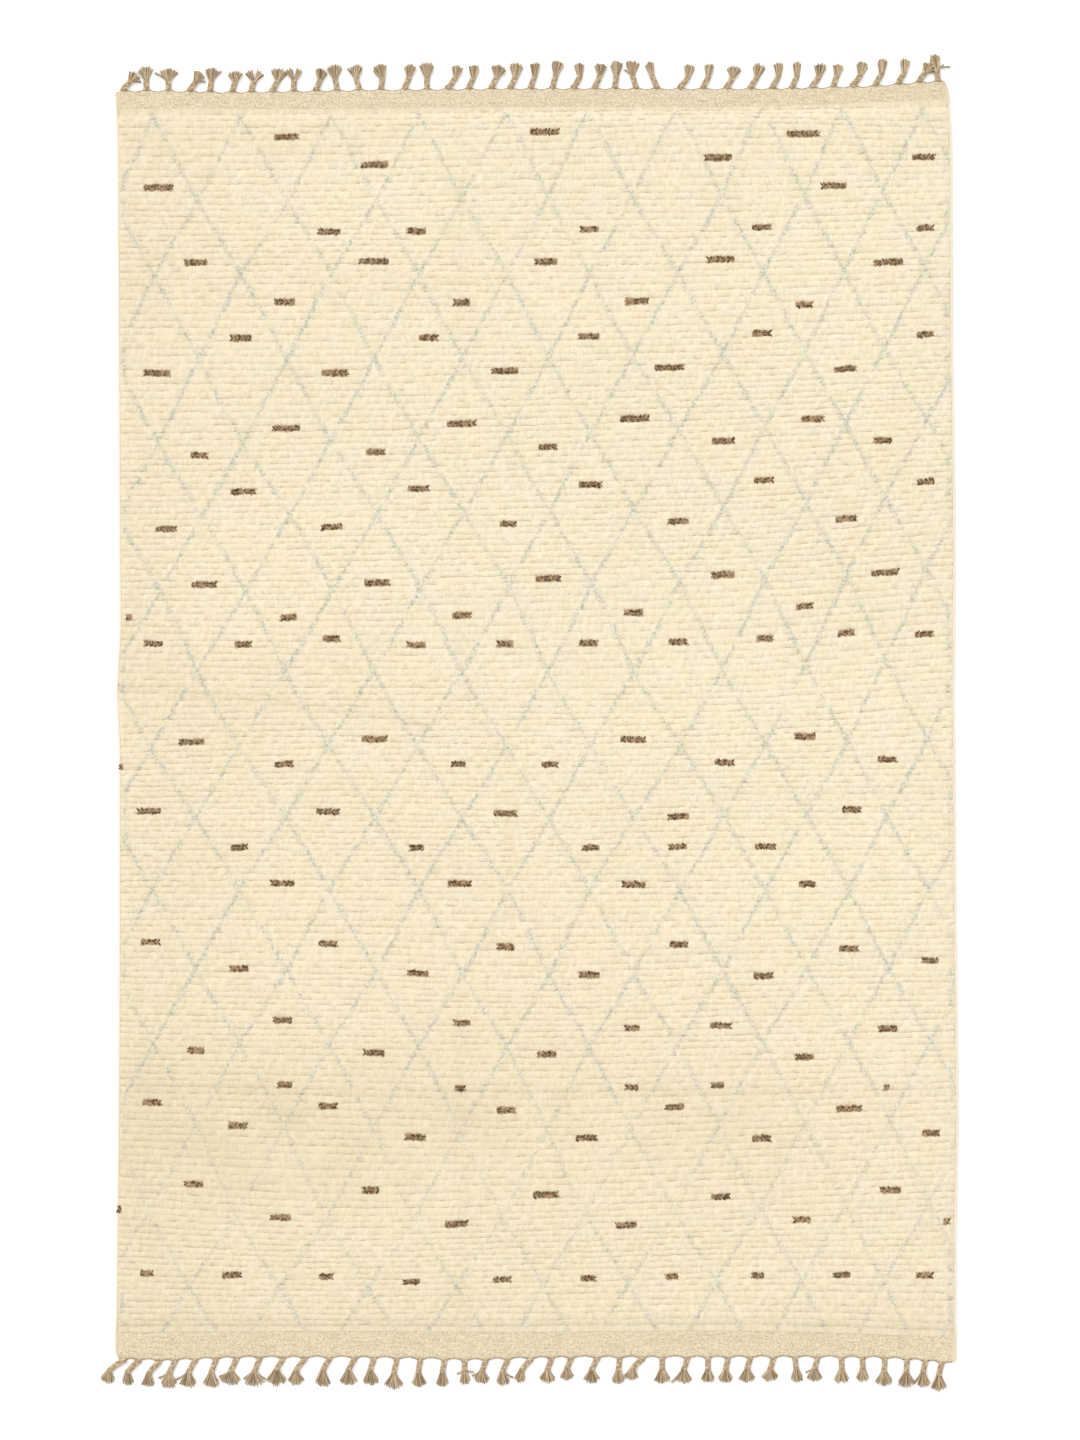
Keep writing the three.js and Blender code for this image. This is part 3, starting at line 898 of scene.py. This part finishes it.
dash_wool, tree, shader = new_material("brown_dash_wool", 0.97)
place = painted(tree, "yarn_place", "Vector")
wool = blend(painted(tree, "yarn_tone"), (92, 66, 40), (196, 162, 122))
finish_wool(shader, wool, place, (900.0, 200.0, 900.0), 0.5, 0.0005)
dash_tufts.data.materials.append(dash_wool)
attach(dash_tufts, "root")


# The overcast side edges: cream wool wound round and round the outer warps. A cord stands along
# each side, nearly as high as the pile, and a low shelf beside it runs under the pile.
WRAP = 0.005
SHELF = 0.0040
CORD_TOP = 0.0108  # beside the pile
CORD_END_TOP = 0.0060  # beside the flat weave
CORD_SLOPE = (0.01, 0.03)  # from the pile's border outwards, at the bottom end only, and inwards
END_SETBACK = 0.002
WRAP_RISE = 0.0004
WRAP_UNEVEN = (0.6, 1.4)
WRAP_SLANT = 0.0012
CORNER_CURVE = 1.6
# Across the edge from its outer side, -1, to the cloth, 1, and up from the floor, 0, to the top of
# the cord, 1, or to the top of the shelf where that is 1
cord_section = {
    "side": (-0.7, 0.98, 1.0, 0.16, 0.15, -0.10, -0.70, -0.94, -1.0, -0.94),
    "up": (0, 0, 0, 0, 0.95, 1.0, 1.0, 0.88, 0.5, 0.14),
    "shelf": (0, 0, 1, 1, 0, 0, 0, 0, 0, 0),
}
# How far each corner of the rug is cut back, along and across
corner_cut = {
    "left": {"top": (0.004, 0.002), "bottom": (0.020, 0.006)},
    "right": {"top": (0.036, 0.0085), "bottom": (0.010, 0.004)},
}


def selvedge(side):
    """One side edge as a closed tube of overcast wraps."""
    corner = 0 if side == "left" else 1
    inwards = 1 if side == "left" else -1
    top = woven_edge("top", corner) - END_SETBACK
    bottom = woven_edge("bottom", corner) + END_SETBACK
    along = np.linspace(bottom, top, int((top - bottom) / WRAP) * 2 + 1)
    pulled_in = np.zeros(len(along))
    for end, from_corner in (("bottom", along - bottom), ("top", top - along)):
        cut_along, cut_across = corner_cut[side][end]
        pulled_in += cut_across * np.clip(1 - from_corner / cut_along, 0, 1) ** CORNER_CURVE
    lower = bottom + BOTTOM_WEAVE
    upper = top - TOP_WEAVE
    slope_out, slope_in = CORD_SLOPE
    slopes = (lower - slope_out, lower + slope_in, upper - slope_in, upper)
    height = np.interp(along, slopes, (CORD_END_TOP, CORD_TOP, CORD_TOP, CORD_END_TOP))
    wound = np.arange(len(along)) % 2
    bulge = np.where(wound, 0, -WRAP_RISE) * random.uniform(*WRAP_UNEVEN, len(along))
    outer = np.interp(along, side_edges["y"], side_edges[side]) + inwards * pulled_in
    width = SELVEDGE_WIDTH - pulled_in
    sides, up, shelf = (np.array(row)[None, :] for row in cord_section.values())
    x = (outer + inwards * width / 2)[:, None] + inwards * sides * (width / 2)[:, None]
    x = np.where(sides < 0, x - inwards * bulge[:, None] * sides, x)
    z = up * (height + bulge)[:, None] + SHELF * shelf
    y = along[:, None] + WRAP_SLANT * up * (sides + 1)
    y[0] = along[0]
    y[-1] = along[-1]
    points = np.stack([x, y, z], axis=2).reshape(-1, 3)
    faces = tube_faces(*x.shape)
    if side == "left":
        faces = [face[::-1] for face in faces]
    piece = mesh_object(f"overcast_edge_{side}", points.tolist(), faces)
    # Paints the crest of each wrap, for painted shade in the dips between the wraps.
    paint(piece, "wound", np.broadcast_to(wound[:, None], x.shape))
    full_height = (height - CORD_END_TOP) / (CORD_TOP - CORD_END_TOP)
    paint(piece, "beside_pile", np.broadcast_to(full_height[:, None], x.shape))
    return piece


edge_wool, tree, shader = new_material("overcast_edge_wool", 0.95)
place = tree.nodes.new("ShaderNodeTexCoord").outputs["Object"]
# Painted shade: the dips between the wraps are darker than their crests.
wraps = painted(tree, "wound")
beside_pile = blend(wraps, (250, 237, 212), (257, 248, 228))
beside_weave = blend(wraps, (236, 220, 190), (247, 233, 205))
wool = blend(painted(tree, "beside_pile"), beside_weave, beside_pile)
finish_wool(shader, wool, place, (120.0, 520.0, 120.0), 0.2, 0.0008)

for side in ("left", "right"):
    piece = selvedge(side)
    piece.data.materials.append(edge_wool)
    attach(piece, "root")
    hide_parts(f"selvedge_{side}")


# The fringe: the warp ends, mixed tan and brown, twined into a line along each woven edge and
# braided into tassels, each tied off over a short cut brush.
TWINE_TURN = 0.014
TWINE_YARN = 0.0007
TWINE_MIDDLE = 0.0022
TWINE_FLAT = 0.6
TWINE_TONE = 0.55
TWINE_DARKER = 0.1
TWINE_CONTRAST = 0.4  # between its two strands
ROOT_SHADE = (0.5, 0.012)  # how much darker it is at a tassel, and how far from it that fades
BRAID_STRAND = 0.0033  # half the thickness of one strand of a braid
BRAID_SWING = 0.0038
BRAID_LIFT = 0.0016
BRAID_MIDDLE = 0.0047
BRAID_TURN = 0.019
BRAID_TONES = (0.4, 0.55, 0.75)
BRAID_PLY = 0.26  # how much its plies vary its tone
BRAID_POINTS = 16
IN_EDGE = -0.05  # share of a tassel's reach at which its braid starts
NECK = (0.40, 0.48)  # share of a tassel's reach at which its braid is tied, least and most
TIE_SIZE = (0.0058, 0.0034)  # half the width and half the height of the ring
TIE_YARN = 0.0013
LEAN_AT_NECK = 0.8  # of a tassel's lean, that its braid has
LEAN_CURVE = 0.2
BRUSH_YARNS = 26
BRUSH_YARN = 0.0012
BRUSH_FOOT = 0.0046  # half the width of the brush at the tie
BRUSH_TUCK = 0.002  # how far its yarns start inside the tie
BRUSH_LEVELS = (0.0022, 0.0014)  # half its height at the tie, and how much more at the cut
BRUSH_SAG = 0.0012
BRUSH_CURVE = 0.15
BRUSH_TONES = (0.26, 0.62, 0.80)
BRUSH_PLY = 0.12
BRUSH_STEPS = 4
FAN_LIMITS = (0.1, 0.92)
FAN_CURVE = 0.9
TWIN_ANGLE = 0.06  # of the two stray yarns of a pair
TONE_UNEVEN = 0.18
CUT_UNEVEN = (-0.15, 0.07)
STRAY_LEVEL = -0.3
STRAY_TONE = 0.35
PARTING = 0.22  # half the gap in a parted brush, as a share of half its width
BRUSH_ROUND = 0.17  # how much shorter its outer yarns are
BRUSH_FULLER = 1.1  # than charted, since its outermost yarns hardly show

# The shape of each tassel from left to right, in millimetres: how far it leans to the right, how far
# it reaches beyond the edge and how wide its brush is. Then how many degrees the brush turns right.
tassel_shapes = {
    "top": (
        (21, 42, 31, 38), (0, 54, 37, -6), (0, 50, 40, 0), (19, 44, 29, 30), (3, 53, 33, 4),
        (10, 47, 37, 0), (8, 50, 44, 5), (17, 52, 40, 10), (2, 52, 39, 0), (12, 49, 31, 10),
        (-6, 57, 38, -4), (-9, 56, 38, -4), (5, 56, 36, -18), (13, 55, 29, 5), (0, 61, 37, 0),
        (24, 52, 27, 10), (14, 53, 26, 5), (16, 53, 37, 14), (16, 57, 34, 5), (12, 58, 25, 4),
        (10, 62, 30, 10), (19, 56, 25, -5), (16, 56, 31, 5), (5, 62, 31, 0), (-11, 63, 34, 2),
        (-15, 59, 22, -14), (24, 53, 27, 10), (16, 55, 24, 5), (18, 50, 37, 10), (18, 55, 31, 14),
        (19, 57, 23, 0), (15, 59, 20, 0), (21, 54, 31, 8), (12, 51, 26, 10), (22, 55, 30, 12),
        (19, 60, 23, 4), (18, 56, 25, 5), (19, 45, 33, 36), (-3, 60, 27, -10),
    ),
    "bottom": (
        (-44, 54, 36, -8), (-34, 57, 28, 4), (-31, 59, 31, -4), (-18, 63, 38, 0), (-21, 64, 41, 0),
        (-15, 65, 40, 0), (-18, 62, 50, 0), (-16, 65, 55, 0), (-20, 63, 50, 0), (-28, 61, 40, 4),
        (-20, 65, 38, 0), (-18, 62, 42, 0), (-11, 62, 39, 4), (-9, 69, 46, 0), (-6, 63, 34, 4),
        (-6, 61, 30, 0), (0, 54, 26, 4), (-12, 52, 37, 0), (-16, 59, 34, 4), (-27, 53, 26, -12),
        (-13, 57, 41, 0), (-13, 50, 34, 0), (-17, 57, 40, 0), (-4, 58, 32, 0), (-28, 50, 34, -8),
        (-1, 58, 38, 4), (-11, 58, 39, 0), (0, 55, 34, 0), (-7, 56, 37, 0), (-9, 56, 40, 0),
        (-10, 54, 42, 0), (4, 55, 31, 5), (-8, 53, 36, 0), (0, 57, 37, 0), (0, 53, 32, 0),
        (-2, 61, 41, 0), (-2, 63, 43, 0), (-7, 59, 31, 4), (-9, 64, 38, 0),
    ),
}
parted = {"top": (7, 9), "bottom": ()}  # tassels whose brush parts in the middle
# Single yarns that stand off a tassel: its number, the angle to the right of its axis, and the length
# in millimetres
stray_yarns = {
    "top": (
        (1, 1.0, 22), (3, -1.15, 34), (3, 0.9, 26), (4, 1.2, 18), (5, 0.75, 30), (25, -1.1, 18),
        (38, 0.9, 22), (39, 1.2, 16), (39, 1.8, 28),
    ),
    "bottom": (
        (4, -1.15, 24), (5, -1.15, 34), (7, -1.2, 26), (17, -1.3, 16), (17, 1.5, 18), (18, -1.15, 22),
        (19, 1.05, 26), (27, -0.75, 40), (33, -1.2, 20), (38, -0.75, 32),
    ),
}


def level_across(line):
    """The level direction across a line at each of its points."""
    ahead = np.gradient(line, axis=0)
    ahead /= np.linalg.norm(ahead, axis=1, keepdims=True)
    return np.stack([ahead[:, 1], -ahead[:, 0], np.zeros(len(line))], axis=1)


def brush_yarn(work, foot, axis, angle, length, level, tone):
    """One cut yarn that leaves the tie of a tassel and curves outwards by an angle."""
    steps = np.linspace(0, 1, BRUSH_STEPS + 1)
    middles = (steps[1:] + steps[:-1]) / 2
    bend = angle * middles**BRUSH_CURVE
    out = np.append(0, np.cumsum(np.cos(bend))) / BRUSH_STEPS * length
    aside = np.append(0, np.cumsum(np.sin(bend))) / BRUSH_STEPS * length
    across = np.array([axis[1], -axis[0], 0.0])
    path = foot + out[:, None] * axis + aside[:, None] * across
    at_tie, more_at_cut = BRUSH_LEVELS
    path[:, 2] = BRAID_MIDDLE + level * (at_tie + more_at_cut * steps) - BRUSH_SAG * steps**2
    path[:, 2] = np.maximum(path[:, 2], BRUSH_YARN)
    work.strand(path, BRUSH_YARN * random.uniform(0.8, 1.2), 5, tone, BRUSH_PLY)


def tassel(work, end, number):
    """One tassel: a braid of three strands, tied at its neck, and the brush beyond it."""
    x = tassel_roots[end][number - 1] / 1000
    *sizes, turn = tassel_shapes[end][number - 1]
    lean, reach, width = (size / 1000 for size in sizes)
    left, right = cloth_sides(woven_edge(end, 0.5))
    out = outwards[end]
    root = woven_edge(end, (x - left) / (right - left)) + out * AT_ROOT * SCALLOP
    neck_share = random.uniform(*NECK)
    part = np.linspace(IN_EDGE, neck_share, BRAID_POINTS)
    way = part / neck_share
    aside = lean * LEAN_AT_NECK * way * (1 + LEAN_CURVE - LEAN_CURVE * way)
    line = np.stack([x + aside, root + out * part * reach, np.zeros(len(part))], axis=1)
    beside = level_across(line)
    shift = random.uniform(0, 1)
    tones = random.permutation(BRAID_TONES)
    for strand in range(3):
        phase = 2 * math.pi * (part * reach / BRAID_TURN + strand / 3 + shift)
        path = line + (BRAID_SWING * np.sin(phase))[:, None] * beside
        path[:, 2] = BRAID_MIDDLE + BRAID_LIFT * np.sin(2 * phase)
        work.strand(path, BRAID_STRAND, 6, tones[strand], BRAID_PLY)

    neck = line[-1]
    tie = np.linspace(0, 2 * math.pi, 11)
    ring = neck + (TIE_SIZE[0] * np.cos(tie))[:, None] * beside[-1]
    ring[:, 2] = BRAID_MIDDLE + TIE_SIZE[1] * np.sin(tie)
    work.strand(ring, TIE_YARN, 5, random.uniform(0.3, 0.7))

    turned = math.radians(turn)
    axis = np.array([math.sin(turned), out * math.cos(turned), 0.0])
    across = np.array([axis[1], -axis[0], 0.0])
    length = reach * (1 - neck_share) + BRUSH_TUCK
    sideways = (BRUSH_FULLER * width / 2 - BRUSH_FOOT - BRUSH_YARN) / (length * (1 - BRUSH_ROUND))
    spread = math.asin(np.clip(sideways, *FAN_LIMITS)) / FAN_CURVE
    for yarn in range(BRUSH_YARNS):
        fan = -1 + 2 * (yarn + random.uniform(0, 1)) / BRUSH_YARNS
        if number in parted[end]:
            fan = math.copysign(PARTING + (1 - PARTING) * abs(fan), fan)
        cut = length * (1 - BRUSH_ROUND * fan**2 + random.uniform(*CUT_UNEVEN))
        foot = neck + BRUSH_FOOT * fan * across - BRUSH_TUCK * axis
        tone = BRUSH_TONES[yarn % 3] + random.uniform(-TONE_UNEVEN, TONE_UNEVEN)
        brush_yarn(work, foot, axis, fan * spread, cut, random.uniform(-1, 1), tone)
    for stray, angle, size in stray_yarns[end]:
        if stray == number:
            foot = neck + math.copysign(BRUSH_FOOT, angle * out) * across
            for twin in (-TWIN_ANGLE, TWIN_ANGLE):
                brush_yarn(work, foot, axis, angle * out + twin, size / 1000, STRAY_LEVEL, STRAY_TONE)


def edge_line(work, end):
    """Two strands of yarn twined round each other along a woven edge, darkest at the tassels."""
    across = np.linspace(0, 1, 1000)
    along = woven_edge(end, across)
    x = between_sides(across, along)
    along = along + outwards[end] * (scallop(end, x) + TWINE_YARN)
    darker, fade = ROOT_SHADE
    tone = TWINE_TONE - darker * np.exp(-from_root(end, x) / fade)
    for number in range(2):
        phase = 2 * math.pi * (x / TWINE_TURN + number / 2)
        y = along + TWINE_FLAT * TWINE_YARN * np.sin(phase)
        z = TWINE_MIDDLE + TWINE_YARN * np.cos(phase)
        path = np.stack([x, y, z], axis=1)
        work.strand(path, TWINE_YARN, 4, tone + TWINE_CONTRAST * number - TWINE_DARKER)


fringe_yarn, tree, shader = new_material("fringe_yarn", 0.95)
place = painted(tree, "yarn_place", "Vector")
yarn = blend(painted(tree, "yarn_tone"), (129, 101, 70), (240, 221, 184))
rusty = spread_out(noise_at(place, 35.0, 1.0), 0.46, 0.66)
yarn = blend(times(rusty, 0.45), yarn, (192, 146, 104))
finish_wool(shader, yarn, place, (900.0, 130.0, 900.0), 0.6, 0.0006)

for end in ("top", "bottom"):
    braids = YarnWork()
    for number in range(1, len(tassel_roots[end]) + 1):
        tassel(braids, end, number)
    twine = YarnWork()
    edge_line(twine, end)
    for piece in (braids.finish(f"tassels_{end}"), twine.finish(f"twined_line_{end}")):
        piece.data.materials.append(fringe_yarn)
        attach(piece, "root")
        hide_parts(f"fringe_{end}")
